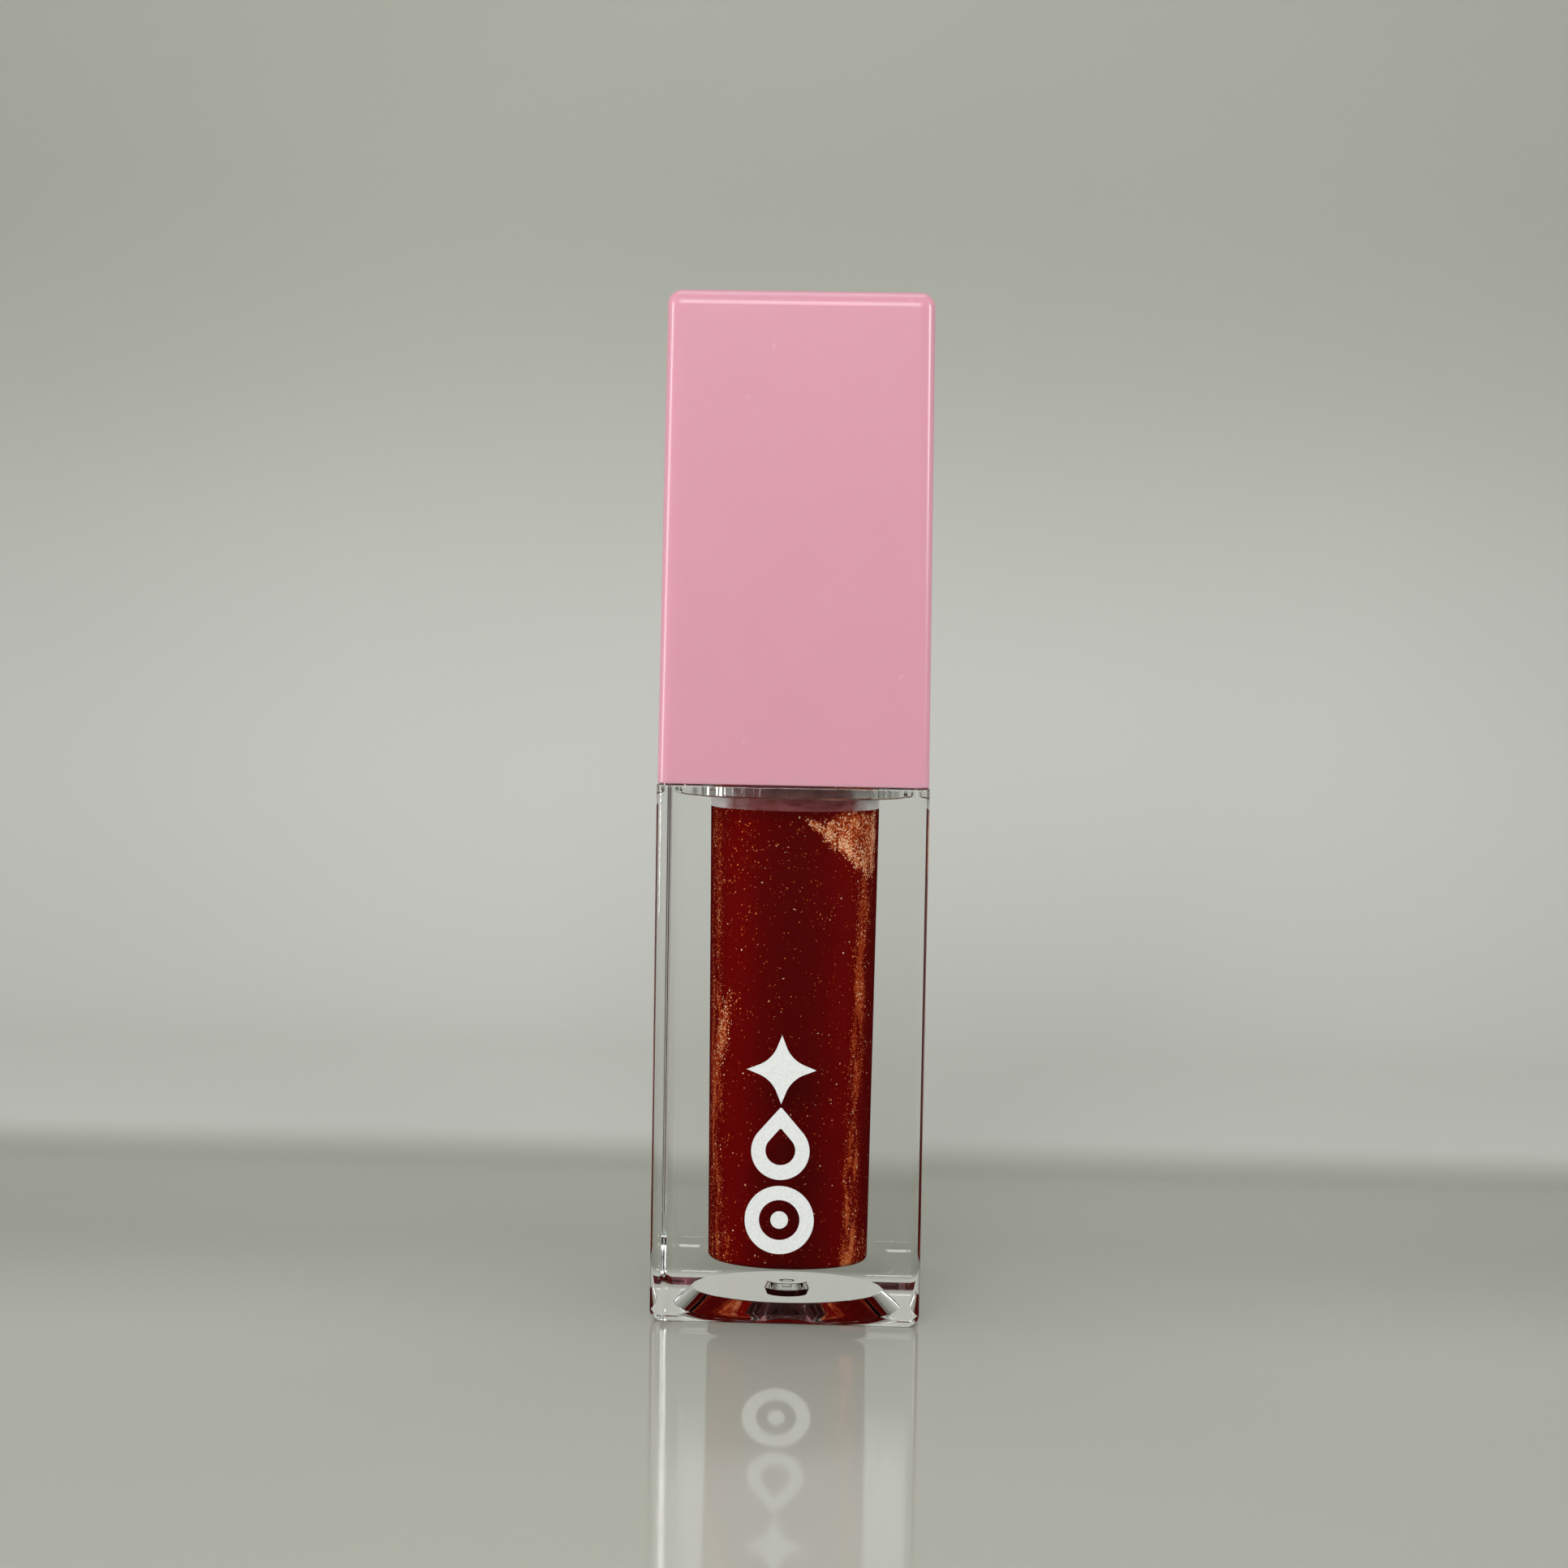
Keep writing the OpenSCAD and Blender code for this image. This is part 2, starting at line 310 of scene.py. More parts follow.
# ---------------------------------------------------------------- materials
def clear_plastic():
    """Clear acrylic. Shadows fall through it, and what stands behind it is lit through it."""
    m, nt = new_material("clear_plastic")
    wave = noise(nt, coords(nt), 0.12, 1.0)
    glass = node(nt, "ShaderNodeBsdfPrincipled", Base_Color=(0.92, 0.923, 0.908, 1), Roughness=0.0,
                 IOR=1.49, Normal=bump(nt, wave, 0.05, 0.0001))
    glass.inputs["Transmission Weight"].default_value = 1.0
    glass.inputs["Specular IOR Level"].default_value = 0.03
    clear = node(nt, "ShaderNodeBsdfTransparent", Color=(0.7, 0.71, 0.7, 1))
    lp = nt.nodes.new("ShaderNodeLightPath")
    soft = math_node(nt, "MAXIMUM", lp.outputs["Is Shadow Ray"], lp.outputs["Is Diffuse Ray"])
    out(nt, node(nt, "ShaderNodeMixShader", i0=soft, i1=glass.outputs[0], i2=clear.outputs[0]).outputs[0])
    return m


def moulded(name, colour, rough=0.28, vary=0.04, orange_peel=0.02, sss=0.0):
    """Opaque moulded plastic: slightly clouded colour, smeared gloss and orange peel."""
    m, nt = new_material(name)
    co = coords(nt)
    lo = (*(c * (1 - vary) for c in colour[:3]), 1)
    hi = (*(min(1, c * (1 + vary)) for c in colour[:3]), 1)
    col = ramp(nt, noise(nt, co, 0.18, 3.0), [(0.3, lo), (0.7, hi)])
    gloss = node(nt, "ShaderNodeMapRange", Value=noise(nt, co, 0.7, 4.0))
    gloss.inputs["To Min"].default_value = rough * 0.92
    gloss.inputs["To Max"].default_value = rough * 1.1
    b = node(nt, "ShaderNodeBsdfPrincipled", Base_Color=col, Roughness=gloss.outputs[0], IOR=1.5,
             Normal=bump(nt, noise(nt, co, 2.2, 2.0), orange_peel, 0.0001))
    scatter(b, sss, 0.002)
    out(nt, b.outputs[0])
    return m


def mica(nt, co):
    """The angle and height of a point as the gel has drifted, and from 0 to 1 how thickly the mica lies
    there together with painted highlights where the flakes would catch the side lamps: everywhere, in
    the folds, and in the bright crest of the upper fold. Angles are 0 at the front and grow to the
    right; heights are in mm above the floor."""
    def op(kind, *values):
        return math_node(nt, kind, *values)

    def peak(v, centre, width):
        """One at the centre, falling to zero at the width."""
        return smooth(nt, op("ABSOLUTE", op("SUBTRACT", v, centre)), width, width * 0.2)

    x, y, height = axes(nt, co)
    drift = op("MULTIPLY_ADD", noise(nt, co, 0.22, 3.0, 0.6), 0.9, -0.45)
    ang = op("ADD", op("ARCTAN2", x, op("MULTIPLY", y, -1.0)), op("MULTIPLY", drift, 0.3))
    z = op("ADD", height, op("MULTIPLY", drift, 3.0))
    along = node(nt, "ShaderNodeCombineXYZ", X=op("MULTIPLY", op("COSINE", ang), WELL_FLOOR),
                 Y=op("MULTIPLY", op("SINE", ang), WELL_FLOOR), Z=op("MULTIPLY", height, 0.16)).outputs[0]
    streak = noise(nt, along, 1.5, 5.0, 0.4)

    # upright bands of mica, partly painted highlights where the flakes would catch the side lamps;
    #     the front right one leaning; each has its place, half width and strength
    lean = op("MULTIPLY_ADD", z, -0.0065, ang)
    bands = 0.0
    for where, centre, width, strength in ((ang, -1.13, 0.24, 0.75), (lean, 0.83, 0.2, 1.0),
                                           (ang, 2.3, 0.3, 0.8), (ang, -2.25, 0.28, 0.8)):
        bands = op("MAXIMUM", bands, op("MULTIPLY", peak(where, centre, width), strength))
    patches = smooth(nt, noise(nt, co, 0.15, 2.0, 0.0, (1, 1, 0.6)), 0.36, 0.58, 0.5, 1.0)
    bands = op("MULTIPLY", op("MULTIPLY", bands, patches), smooth(nt, z, 34.0, 12.0, 0.45, 1.0))
    # the front bands again near the bottom, on both sides: painted highlights on mica, as above
    low_band_ends = op("MULTIPLY", peak(op("ABSOLUTE", ang), 1.1, 0.45), smooth(nt, z, 7.0, 5.0, 0.0, 0.5))
    radius = op("SQRT", op("ADD", op("MULTIPLY", x, x), op("MULTIPLY", y, y)))
    by_wall = smooth(nt, radius, WELL_FLOOR - 0.7, WELL_FLOOR - 0.1, 0.1, 1.0)
    bands = op("MULTIPLY", op("MAXIMUM", bands, low_band_ends), by_wall)

    # a fold of mica under the neck at the front right, with a painted highlight along its crest and
    #     right edge, and a smaller fold at the front left
    slope = op("ADD", op("MULTIPLY", ang, 5.2), op("SUBTRACT", z, 37.6))
    under_neck = op("MULTIPLY", smooth(nt, z, 32.2, 34.4), smooth(nt, z, 38.0, 37.3))
    fold = op("MULTIPLY", smooth(nt, slope, 0.4, 1.4), op("MULTIPLY", smooth(nt, ang, 1.34, 1.2), under_neck))
    # painted highlight: the fold's crest and its right edge, where the flakes would catch the light
    crest = op("MULTIPLY", fold, op("MAXIMUM", smooth(nt, slope, 3.0, 1.4), peak(ang, 1.22, 0.09)))
    low_lean = op("SUBTRACT", ang, op("MULTIPLY", op("SUBTRACT", z, 21.0), 0.05))
    low_fold = op("MULTIPLY", peak(low_lean, -0.96, 0.2), peak(z, 21.4, 3.6))
    folds = op("MAXIMUM",
               op("MULTIPLY", op("MAXIMUM", crest, op("MULTIPLY", fold, 0.8)),
                  smooth(nt, streak, 0.38, 0.6, 0.45, 1.0)),
               op("MULTIPLY", low_fold, smooth(nt, streak, 0.38, 0.6, 0.15, 0.7)))
    # mica everywhere, partly real mica and partly painted highlight
    mica_and_glint = op("MAXIMUM", op("MULTIPLY", bands, smooth(nt, streak, 0.36, 0.62, 0.1, 1.0)), folds)
    return ang, z, mica_and_glint, folds, crest


def gloss_material():
    """Dark red gel with mica, thickest where it has folded against the wall. Its upright bands, soft glow and
    brightest flakes are painted highlights on top of the mica.
    """
    m, nt = new_material("gloss_gel")
    co = coords(nt)

    def op(kind, *values):
        return math_node(nt, kind, *values)

    ang, z, mica_and_glint, folds, crest = mica(nt, co)
    curl = op("ABSOLUTE", op("SUBTRACT", noise(nt, co, 0.32, 2.0, 2.2, (1, 1, 1.4)), 0.5))
    wisp = op("MULTIPLY", smooth(nt, curl, 0.03, 0.0), smooth(nt, z, 29.0, 36.0, 0.01, 0.08))
    loose = smooth(nt, noise(nt, co, 0.3, 3.0, 1.2), 0.55, 0.8, 0.0, 0.06)

    # a flake shows in a cell whose random number is under the share of cells that hold one
    fine = cells(nt, co, 15.0)
    coarse = cells(nt, co, 10.0)
    fine_share = op("ADD", op("MULTIPLY_ADD", mica_and_glint, 0.62, 0.005), op("ADD", loose, wisp))
    coarse_share = op("MULTIPLY_ADD", op("MULTIPLY", folds, op("MULTIPLY_ADD", crest, 0.5, 0.5)), 0.6,
                      op("MULTIPLY_ADD", op("ADD", mica_and_glint, wisp), 0.07, 0.0012))
    haze = op("LESS_THAN", fine[0], fine_share)
    glint = op("LESS_THAN", coarse[1], coarse_share)

    # the red is darkest in the middle of each side
    off_middle = op("MULTIPLY_ADD", op("COSINE", op("MULTIPLY", ang, 4.0)), -0.5, 0.5)
    red = ramp(nt, off_middle, [(0.0, srgb(90, 0, 0)), (0.5, srgb(98, 0, 0)), (1.0, srgb(112, 0, 0))])
    # copper where mica lies thick, brightening to a painted glow where the painted highlights are
    glow = ramp(nt, mica_and_glint, [(0.0, srgb(112, 4, 1)), (0.4, srgb(140, 24, 6)), (0.7, srgb(166, 50, 18)),
                            (1.0, srgb(236, 130, 76))])
    # flake colours up to near white are painted glints; the Metallic below gives them only part of their
    # shine
    copper = ramp(nt, fine[1], [(0.0, srgb(160, 26, 4)), (0.5, srgb(204, 84, 28)), (1.0, srgb(250, 150, 80))])
    spark = ramp(nt, coarse[2], [(0.0, srgb(232, 136, 80)), (1.0, srgb(255, 222, 184))])
    col = mix_colour(nt, smooth(nt, mica_and_glint, 0.0, 0.6, 0.0, 0.85), red, glow)
    col = mix_colour(nt, glint, mix_colour(nt, haze, col, copper), spark)
    b = node(nt, "ShaderNodeBsdfPrincipled", Base_Color=col, Roughness=0.45,
             Metallic=op("MULTIPLY", op("MAXIMUM", haze, glint), 0.4))
    b.inputs["Specular IOR Level"].default_value = 0.0
    out(nt, b.outputs[0])
    return m


def ink():
    m, nt = new_material("white_ink")
    grain = noise(nt, coords(nt), 6.0, 3.0)
    col = ramp(nt, grain, [(0.3, srgb(224, 226, 224)), (0.7, srgb(240, 241, 240))])
    b = node(nt, "ShaderNodeBsdfPrincipled", Base_Color=col, Roughness=0.5,
             Normal=bump(nt, grain, 0.15, 0.00002))
    out(nt, b.outputs[0])
    return m


def wiper_plastic():
    """Milky plastic that the gloss has stained below the rim; towards its two sides it is painted whitish, as
    painted light coming through the sleeve from the sides.
    """
    m, nt = new_material("wiper_plastic")
    co = coords(nt)
    x, _, z = axes(nt, co)
    cloud = noise(nt, co, 0.55, 3.0, 0.4, (0.6, 0.6, 1.6))
    # whitish at the two sides is painted light; above the rim the plastic is unstained
    reach = math_node(nt, "MAXIMUM", math_node(nt, "ABSOLUTE", x), smooth(nt, z, RIM - 0.3, RIM + 3, 0, 5.9))
    clean_or_side_lit = smooth(nt, math_node(nt, "MULTIPLY_ADD", cloud, 1.6, reach), 5.2, 6.2)
    stain = ramp(nt, noise(nt, co, 0.9, 3.0, 0.0, (1, 1, 2.5)),
                 [(0.3, srgb(130, 54, 56)), (0.7, srgb(174, 96, 98))])
    b = node(nt, "ShaderNodeBsdfPrincipled", Base_Color=mix_colour(nt, clean_or_side_lit, stain, srgb(250, 236, 240)),
             Roughness=0.35)
    scatter(b, 0.3, 0.001)
    b.inputs["Specular IOR Level"].default_value = 0.2
    out(nt, b.outputs[0])
    return m


def flock():
    """Short fibres, wet with gloss."""
    m, nt = new_material("flock")
    fibre = noise(nt, coords(nt), 4.0, 5.0)
    col = ramp(nt, fibre, [(0.35, srgb(84, 6, 6)), (0.5, srgb(140, 22, 20)), (0.65, srgb(190, 70, 60))])
    b = node(nt, "ShaderNodeBsdfPrincipled", Base_Color=col, Roughness=0.8,
             Normal=bump(nt, fibre, 1.0, 0.0004))
    b.inputs["Sheen Weight"].default_value = 0.12
    out(nt, b.outputs[0])
    return m


CLEAR = clear_plastic()
CAP = moulded("cap_plastic", srgb(219, 157, 174), rough=0.26, sss=0.4, vary=0.008, orange_peel=0.006)
COLLAR = moulded("collar_plastic", srgb(222, 140, 162), rough=0.35)
STEM = moulded("stem_plastic", srgb(230, 160, 178), rough=0.3)
WIPER = wiper_plastic()
FOAM = moulded("foam_liner", srgb(236, 233, 226), rough=0.8, orange_peel=0.3)
TIP = moulded("tip_plastic", srgb(225, 214, 204), rough=0.5)
GLOSS = gloss_material()
INK = ink()
FLOCK = flock()

# ---------------------------------------------------------------- bottle
# angles of the points of a ring of the body, so that its circles have the same layout
EDGE_ANGLES = [math.atan2(y, x) for x, y, _ in square_ring(HALF, EDGE, 0)]


def thread_bump(z, a):
    """Height of the thread's ridge above the neck at height z and angle a. It fades in and out over
    a quarter turn."""
    foot, crest = 0.6, 0.3
    a = a % (2 * math.pi)
    best = 0.0
    for whole in range(-1, 3):
        turn = whole + a / (2 * math.pi)
        if not 0 <= turn <= TURNS:
            continue
        fade = min(1, turn * 4, (TURNS - turn) * 4)
        d = abs(z - (THREAD_Z + LEAD * turn))
        flank = 1 if d < crest else max(0, 1 - (d - crest) / (foot - crest))
        best = max(best, flank * fade)
    return best * (CREST_R - NECK_R)


def pocket_wave(a):
    """Moulding ripple of the pocket's wall at an angle."""
    return 0.03 * math.sin(21 * a + 1) + 0.022 * math.sin(34 * a) + 0.012 * math.sin(55 * a + 2)


def waved_ring(radius_at, z):
    """Ring whose radius changes with the angle."""
    return [(radius_at(a) * math.cos(a), radius_at(a) * math.sin(a), z) for a in EDGE_ANGLES]


def dish_z(r):
    """Height of the underside's sloped ring at a radius."""
    return DISH_T * (DISH_RIM - r) / (DISH_RIM - DISH_CEIL)


@functools.lru_cache(maxsize=None)
def foot_ring(t):
    """Ring of the bottom rounding, at an angle from 0 underneath to a quarter turn at the sides."""
    e = FOOT_EDGE * (1 - math.sin(t))
    return square_ring(HALF - e, max(EDGE - e, 0.004), FOOT_EDGE * (1 - math.cos(t)))


def foot_start(k):
    """Angle at which the cone of the underside leaves the bottom rounding, at one point of the ring."""
    steps = 200
    if math.hypot(*foot_ring(0.0)[k][:2]) < DISH_RIM:
        for j in range(1, steps // 2):
            x, y, z = foot_ring(math.pi / 2 * j / steps)[k]
            if dish_z(math.hypot(x, y)) <= z:
                return math.pi / 2 * (j - 0.5) / steps
    return 0.0


def underside_rings():
    """Rings from the gate well out to the foot of the sides. Along the middle of each side the cone
    runs straight into the bottom rounding; towards the corners it ends on the flat of a foot."""
    gate_z = DISH_T + GATE_T
    under = rounded(
        [(0.0, gate_z - STUB_T), (STUB_R, gate_z - STUB_T), (STUB_R, gate_z),
         (GATE_CEIL, gate_z), (GATE_R, DISH_T), (DISH_CEIL, DISH_T), (DISH_RIM, 0)],
        {1: 0.08, 2: 0.08, 3: 0.06, 4: 0.04, 5: 0.15}, 4)
    rings = [circle_ring(r, z, EDGE_ANGLES) for r, z in under if ON_AXIS < r < DISH_RIM - ON_AXIS]

    count, lap, steps = len(EDGE_ANGLES), 0.03, 13
    start = [foot_start(k) for k in range(count)]
    crease, inside = [], []
    for k in range(count):
        x, y, z = foot_ring(start[k])[k]
        r = math.hypot(x, y)
        if r >= DISH_RIM:
            x, y, z, r = x * DISH_RIM / r, y * DISH_RIM / r, 0.0, DISH_RIM
        crease.append((x, y, z))
        inside.append((x * (r - lap) / r, y * (r - lap) / r, dish_z(r - lap)))
    rings += [inside, crease]
    rings.append([tuple(Vector(foot_ring(start[k])[k]).lerp(Vector(crease[k]), 0.04)) for k in range(count)])
    for step in range(steps + 1):
        rings.append([foot_ring(start[k] + (math.pi / 2 - start[k]) * step / steps)[k] for k in range(count)])
    return rings


def side_rings():
    """Rings up the square sides and over the shoulder's outer edge."""
    steps, shoulder = 24, 0.5
    rings = [square_ring(HALF, EDGE, FOOT_EDGE + SUPPORT)]
    for k in range(1, steps):
        rings.append(square_ring(HALF, EDGE, FOOT_EDGE + (RIM - FOOT_EDGE) * k / steps))
    for h, z in rounded([(HALF, FOOT_EDGE), (HALF, RIM), (HALF - shoulder, RIM)], {1: 0.12}, 5)[1:-1]:
        rings.append(square_ring(h, max(0.05, EDGE - (HALF - h)), z))
    return rings


def neck_rings():
    """Rings down into the shoulder's pocket, over the bead, and up the threaded neck."""
    rings = []
    pocket = rounded(
        [(HALF, RIM), (POCKET_R, RIM), (POCKET_R, POCKET_Z), (FLANGE_R, POCKET_Z), (FLANGE_R, FLANGE_TOP),
         (NECK_R, FLANGE_TOP), (NECK_R, THREAD_Z - 1)],
        {1: 0.08, 2: 0.15, 3: 0.1, 4: 0.12, 5: 0.15}, 4)
    for r, z in pocket[1:]:
        on_wall = abs(r - POCKET_R) < 0.2 and z > POCKET_Z - 0.01
        rings.append(waved_ring(lambda a: r + pocket_wave(a) if on_wall else r, z))
    z, step = THREAD_Z - 0.9, 0.1
    while z < NECK_TOP - 0.3:
        rings.append(waved_ring(lambda a: NECK_R + thread_bump(z, a), z))
        z += step
    return rings


def well_rings():
    """Rings over the neck's rim and down the well."""
    inner = rounded(
        [(NECK_R, NECK_TOP - 0.4), (NECK_R, NECK_TOP), (WELL_TOP, NECK_TOP), (WELL_TOP, POCKET_Z),
         (WELL_FLOOR, BASE_T), (0, BASE_T)],
        {1: 0.12, 2: 0.12, 3: 0.3, 4: WELL_FILLET}, 6)
    return [circle_ring(r, z, EDGE_ANGLES) for r, z in inner[1:] if r > ON_AXIS]


bottle_mesh = skin(underside_rings() + side_rings() + neck_rings() + well_rings())
bottle = mesh_object("bottle_clear", bottle_mesh, CLEAR, "bottle", sharp=25)
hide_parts("bottle")


# ---------------------------------------------------------------- gloss, a hair larger than the well
def gloss_rings():
    """The gel wets the wiper's foot at the wall and has a channel where the wand stands."""
    bore, wet, wall = TIP_HI[0] + LIP_SLACK, 0.12, well_r(GLOSS_TOP)
    floor_z = BASE_T - PRESS
    outer = rounded([(0, floor_z), (WELL_FLOOR + PRESS, floor_z), (wall + PRESS, GLOSS_TOP + wet)],
                    {1: WELL_FILLET}, 10)
    outline = [(0.5, floor_z)] + [(r, z) for r, z in outer if r > ON_AXIS]
    outline += [(wall - 0.2, GLOSS_TOP + wet), (wall - 0.3, GLOSS_TOP), (bore, GLOSS_TOP),
                (bore, TIP_LO[2] - 0.1)]
    return [circle_ring(r, z, even_angles(192)) for r, z in outline]


gel = mesh_object("gloss_gel", skin(gloss_rings()), GLOSS, "bottle", sharp=40)
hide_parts("gloss_fill")


# ---------------------------------------------------------------- wiper, wet against the wall of the neck
def wiper_outline():
    """The sleeve stands a hair inside the bottle's wall, because a press fit leaves no air between."""
    foot, lip_z, cone_z = GLOSS_TOP, RIM + 0.6, RIM + 5.2
    lip_r, lip_t = TIP_HI[0] + LIP_SLACK, 0.45
    bore = WELL_TOP - WIPER_WALL
    foot_bore = well_r(foot) - WIPER_WALL
    return rounded(
        [(foot_bore, foot), (well_r(foot) + PRESS, foot), (WELL_TOP + PRESS, POCKET_Z),
         (WELL_TOP + PRESS, NECK_TOP - 0.15), (WELL_TOP - PRESS, NECK_TOP), (WIPER_HI[0], NECK_TOP),
         (WIPER_HI[0], WIPER_HI[2]), (bore, WIPER_HI[2]), (bore, cone_z),
         (lip_r + lip_t, lip_z + lip_t), (lip_r + lip_t, lip_z), (lip_r, lip_z), (lip_r, lip_z - lip_t),
         (lip_r + 2 * lip_t, lip_z - lip_t), (bore, cone_z - 1.6), (foot_bore, foot)],
        {1: 0.12, 5: 0.12, 6: 0.15, 7: 0.2, 8: 0.5, 11: 0.1, 12: 0.1, 14: 0.5}, 5)[:-1]


wiper = mesh_object("wiper_sleeve", lathe(wiper_outline(), 144), WIPER, "bottle", sharp=35)
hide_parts("wiper")


# ---------------------------------------------------------------- outer cap
def cap_rings():
    """Rings from the middle of the ceiling down the inside, round the rim, up the tapered outside
    and over the rounded top to its middle."""
    z0, z1 = CAP_LO[2], CAP_HI[2]
    w0, w1 = CAP_HI[0], CAP_TOP_HALF
    lip, corner, inner_edge = 2.0, 0.6, 0.4
    ceiling = z1 - CAP_ROOF
    side_top = z1 - CAP_ROUND

    def half_at(z):
        return w0 + (w1 - w0) * (z - z0) / (z1 - z0)

    inside = w1 - CAP_WALL
    rings = [square_ring(2.0, inner_edge, ceiling),
             square_ring(inside - corner - SUPPORT, inner_edge, ceiling)]
    for k in range(7):
        t = math.pi / 2 * k / 6
        rings.append(square_ring(inside - corner + corner * math.sin(t), corner,
                                 ceiling - corner + corner * math.cos(t)))
    rim = rounded([(w0 - CAP_WALL, z0 + lip), (w0 - CAP_WALL, z0), (w0, z0), (w0 - 0.02, z0 + lip)],
                  {1: 0.12, 2: 0.1}, 4)
    for h, z in rim:
        rings.append(square_ring(h, inner_edge if h < w0 - CAP_WALL / 2 else CAP_EDGE, z))
    for k in range(1, 14):
        f = k / 14
        z = z0 + lip + (side_top - z0 - lip) * f
        rings.append(square_ring(half_at(z), CAP_EDGE + (CAP_ROUND - CAP_EDGE) * f, z))
    top = half_at(side_top)
    rings.append(square_ring(top, CAP_ROUND, side_top - SUPPORT))
    for k in range(11):
        t = math.pi / 2 * k / 10
        left = CAP_ROUND * math.cos(t)
        rings.append(square_ring(top - CAP_ROUND + left, max(0.05, left), side_top + CAP_ROUND * math.sin(t)))
    rings.append(square_ring(top - CAP_ROUND - 0.03, 0.03, z1))
    rings.append(square_ring(3.0, 0.03, z1))
    return rings


def post_outline():
    """Tube under the ceiling that holds the inner collar down."""
    r_in, r_out, top, bottom = 3.55, 4.6, CAP_HI[2] - 1.3, COLLAR_HI[2] - 3
    return [(r_out, top), (r_in, top), (r_in, bottom), (r_out, bottom)]


cap = mesh_object("cap_outer", skin(cap_rings()), CAP, "cap", sharp=50)
post = mesh_object("cap_post", lathe(post_outline(), 96), CAP, "cap", sharp=40)
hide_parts("cap_shell")
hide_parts("cap_shell")

# ---------------------------------------------------------------- CAD nodes that keep their shape
for name, mat in (("seal_washer", FOAM), ("inner_collar", COLLAR), ("wand_stem", STEM),
                  ("tip_core", TIP), ("tip_flock", FLOCK), ("front_print", INK)):
    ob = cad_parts[name]
    ob.data.materials.clear()
    ob.data.materials.append(mat)


# ---------------------------------------------------------------- floor, backdrop
def stage_material():
    """Pale grey, polished near the tube and matt far behind it, darkest in a strip behind the tube."""
    m, nt = new_material("stage")
    co = coords(nt)
    _, y, z = axes(nt, co)
    fac = math_node(nt, "ADD", smooth(nt, y, -20, 20, 0, 0.4), smooth(nt, y, 42, 62, 0, 0.6))
    fac = math_node(nt, "SUBTRACT", fac, smooth(nt, z, 20, 110, 0, 0.42))
    fac = math_node(nt, "ADD", fac, math_node(nt, "MULTIPLY_ADD", noise(nt, co, 0.01, 3.0), 0.1, -0.05))
    col = ramp(nt, fac, [(0.0, srgb(206, 207, 196)), (0.4, srgb(174, 176, 163)), (1.0, srgb(230, 231, 225))])
    b = node(nt, "ShaderNodeBsdfPrincipled", Base_Color=col, Roughness=smooth(nt, y, 30, 70, 0.06, 0.9),
             IOR=1.49)
    # a mirror-like surface shows the floor as a dark card, as a studio's black flag, so that the gloss
    # stays deep; a ray that has gone through the clear plastic sees it as it is
    lp = nt.nodes.new("ShaderNodeLightPath")
    mirrored = math_node(nt, "SUBTRACT", lp.outputs["Is Glossy Ray"], lp.outputs["Is Transmission Ray"],
                         clamp=True)
    card = node(nt, "ShaderNodeBsdfDiffuse", Color=(0.02, 0.02, 0.02, 1))
    flag = math_node(nt, "MULTIPLY", mirrored, smooth(nt, y, 40, 20, 0, 0.9))
    out(nt, node(nt, "ShaderNodeMixShader", i0=flag, i1=b.outputs[0], i2=card.outputs[0]).outputs[0])
    return m


def sweep():
    """Floor that curves up into a backdrop behind the tube."""
    far, flat, bend, top, steps = 3000, 105, 80, 500, 16
    prof = [(-far, 0), (flat, 0)]
    for k in range(1, steps + 1):
        t = math.pi / 2 * k / steps
        prof.append((flat + bend * math.sin(t), bend - bend * math.cos(t)))
    prof.append((flat + bend, top))
    drop = 0.02                                # just under the tube, so that the two don't share a plane
    verts = [(x * MM, y * MM, (z - drop) * MM) for y, z in prof for x in (-far, far)]
    faces = [(k, k + 1, k + 3, k + 2) for k in range(0, len(verts) - 2, 2)]
    me = bpy.data.meshes.new("floor")
    me.from_pydata(verts, [], faces)
    for p in me.polygons:
        p.use_smooth = True
    ob = bpy.data.objects.new("floor", me)
    scene.collection.objects.link(ob)
    me.materials.append(stage_material())
    return ob


floor = sweep()


# ---------------------------------------------------------------- lights
def area(name, loc, target, size, power, mirrored=True):
    """A soft box, with its size in mm. mirrored tells whether reflections and clear plastic show it."""
    d = bpy.data.lights.new(name, "AREA")
    d.shape = "RECTANGLE"
    d.size, d.size_y = size[0] * MM, size[1] * MM
    d.energy = power
    o = bpy.data.objects.new(name, d)
    scene.collection.objects.link(o)
    o.location = [v * MM for v in loc]
    o.rotation_euler = (Vector(target) - Vector(loc)).to_track_quat("-Z", "Y").to_euler()
    o.visible_camera = False
    o.visible_glossy = o.visible_transmission = mirrored
    return o


def linked_to_floor(name, state):
    """Collection that a light's linking uses: the floor only, or all but the floor."""
    group = bpy.data.collections.new(name)
    group.objects.link(floor)
    group.collection_objects[0].light_linking.link_state = state
    return group


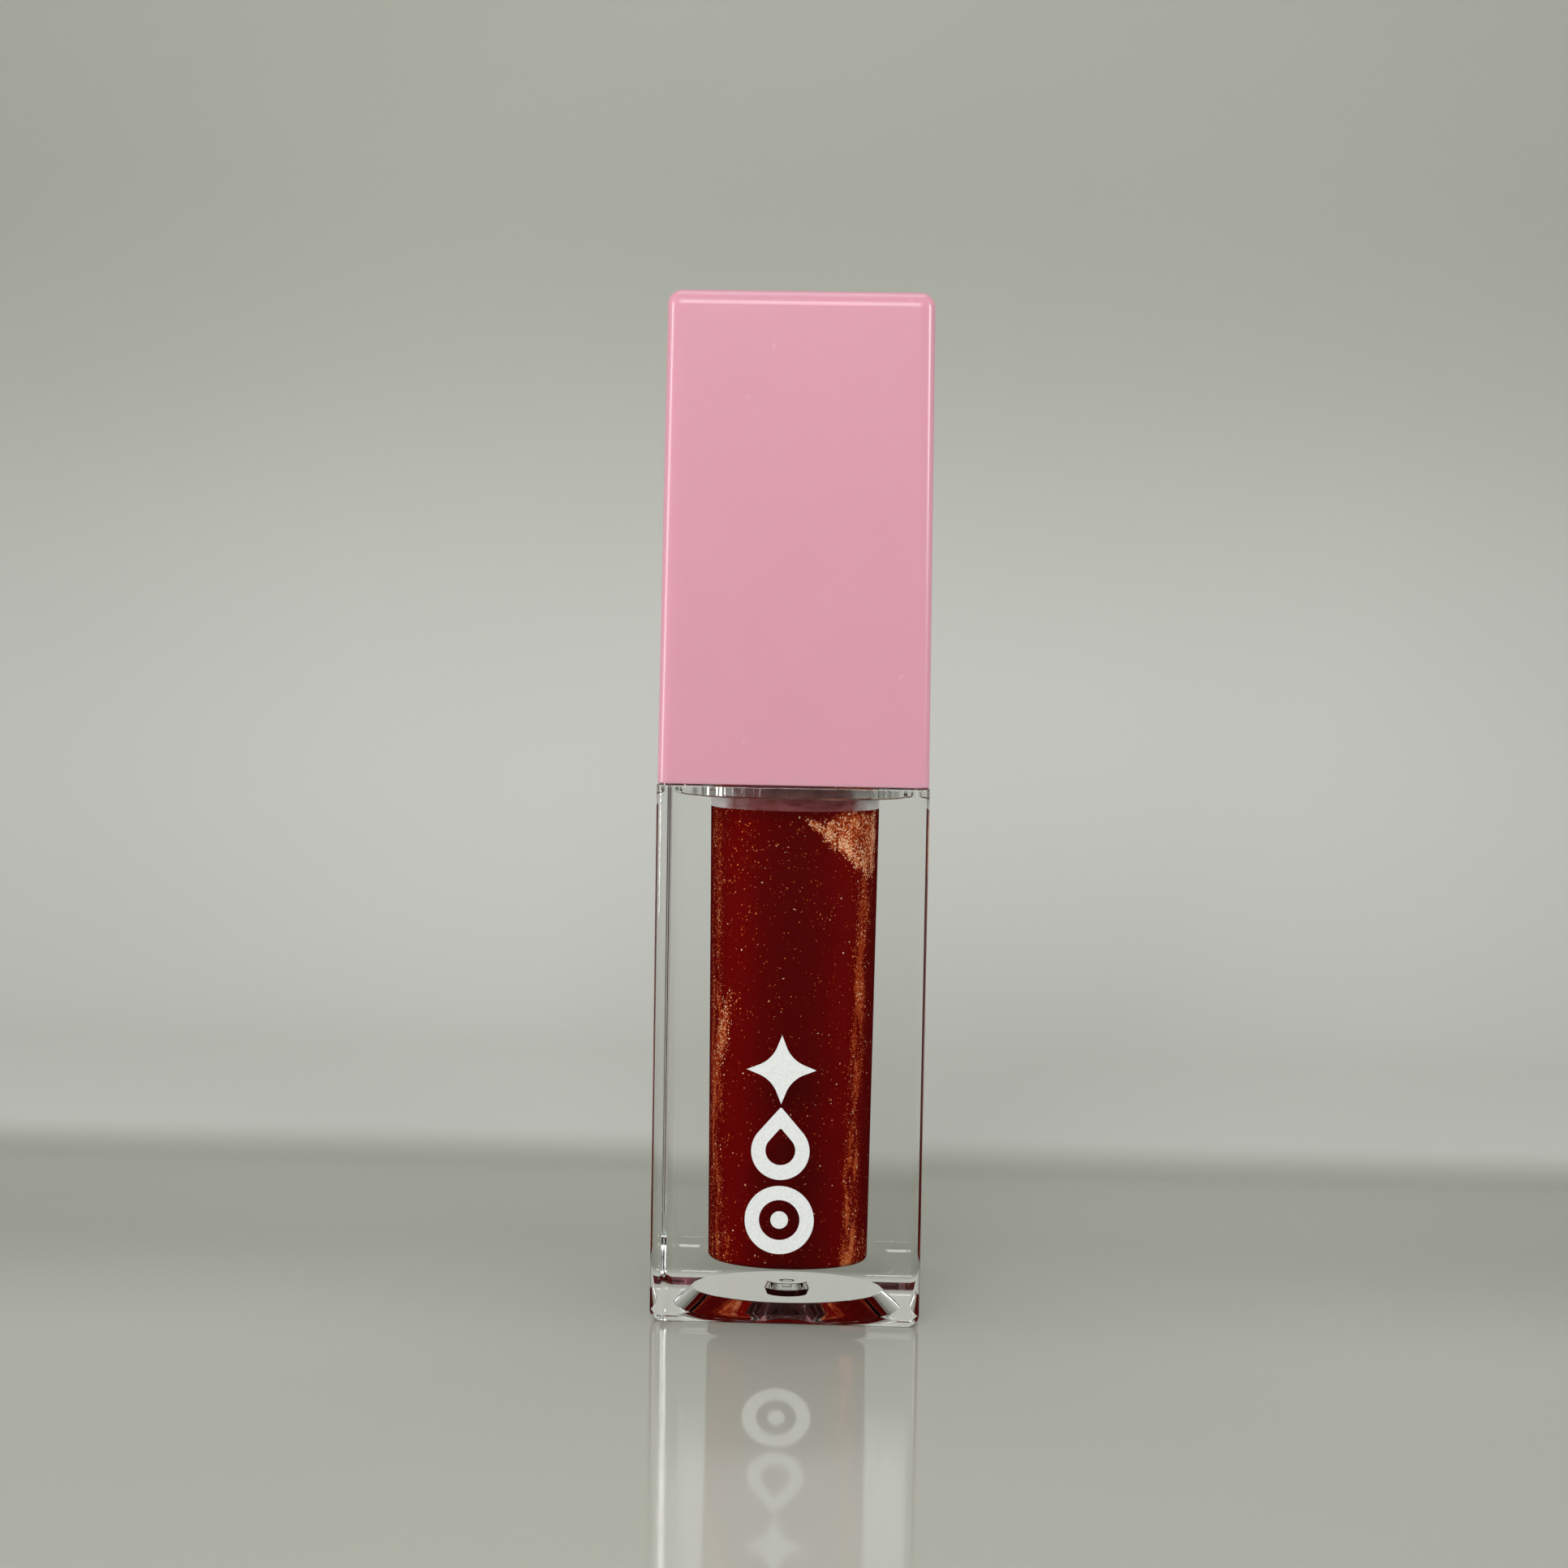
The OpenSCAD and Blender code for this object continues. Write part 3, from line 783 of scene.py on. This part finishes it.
KEY = (-50, -420, 250), (0, 0, 40), (240, 160), 1.0
# the floor would mirror the key and the strips, so they are for the tube only, and the floor has a
# key of its own that it doesn't mirror
tube_lights = [area("key", *KEY),
               area("left", (-240, -60, 50), (0, 0, 50), (30, 180), 0.33),
               area("right", (240, -50, 110), (0, 0, 70), (30, 90), 0.22),
               area("back", (0, 170, 90), (0, 0, 40), (120, 100), 0.1, mirrored=False)]
tube_only = linked_to_floor("tube_only", "EXCLUDE")
for light in tube_lights:
    light.light_linking.receiver_collection = tube_only
floor_key = area("floor_key", *KEY, mirrored=False)
floor_key.light_linking.receiver_collection = linked_to_floor("floor_only", "INCLUDE")
for side, power in ((-1, 0.25), (1, 0.23)):
    area("fill", (230 * side, -330, 100), (0, 0, 40), (120, 90), power, mirrored=False)
area("top", (0, 40, 320), (0, 60, 0), (240, 160), 0.24)

world = bpy.data.worlds.new("world")
scene.world = world
world.use_nodes = True
sky = world.node_tree
background = sky.nodes["Background"]
background.inputs["Color"].default_value = (0.80, 0.82, 0.78, 1)
# pale to look at, dimmer as a light
sky_path = sky.nodes.new("ShaderNodeLightPath")
sky.links.new(math_node(sky, "MULTIPLY_ADD", sky_path.outputs["Is Diffuse Ray"], -0.32, 0.45),
              background.inputs["Strength"])

# ---------------------------------------------------------------- camera, fitted to the photo's view
FOCAL = 67.0807                                # mm, on a sensor 36 mm wide
CAMERA_AT = (6.53, -221.84, 57.85)
PAN, DOWN, ROLL = math.radians(1.938), math.radians(4.748), math.radians(0.970)

cam = bpy.data.cameras.new("camera")
cam.lens = FOCAL
cam.sensor_width = 36
cam.clip_start = 0.01
cam.clip_end = 10
camera = bpy.data.objects.new("camera", cam)
scene.collection.objects.link(camera)
scene.camera = camera
camera.matrix_world = (Matrix.Translation(Vector(CAMERA_AT) * MM) @ Matrix.Rotation(PAN, 4, "Z")
                       @ Matrix.Rotation(math.pi / 2 - DOWN, 4, "X") @ Matrix.Rotation(ROLL, 4, "Z"))
scene.view_settings.view_transform = "Standard"
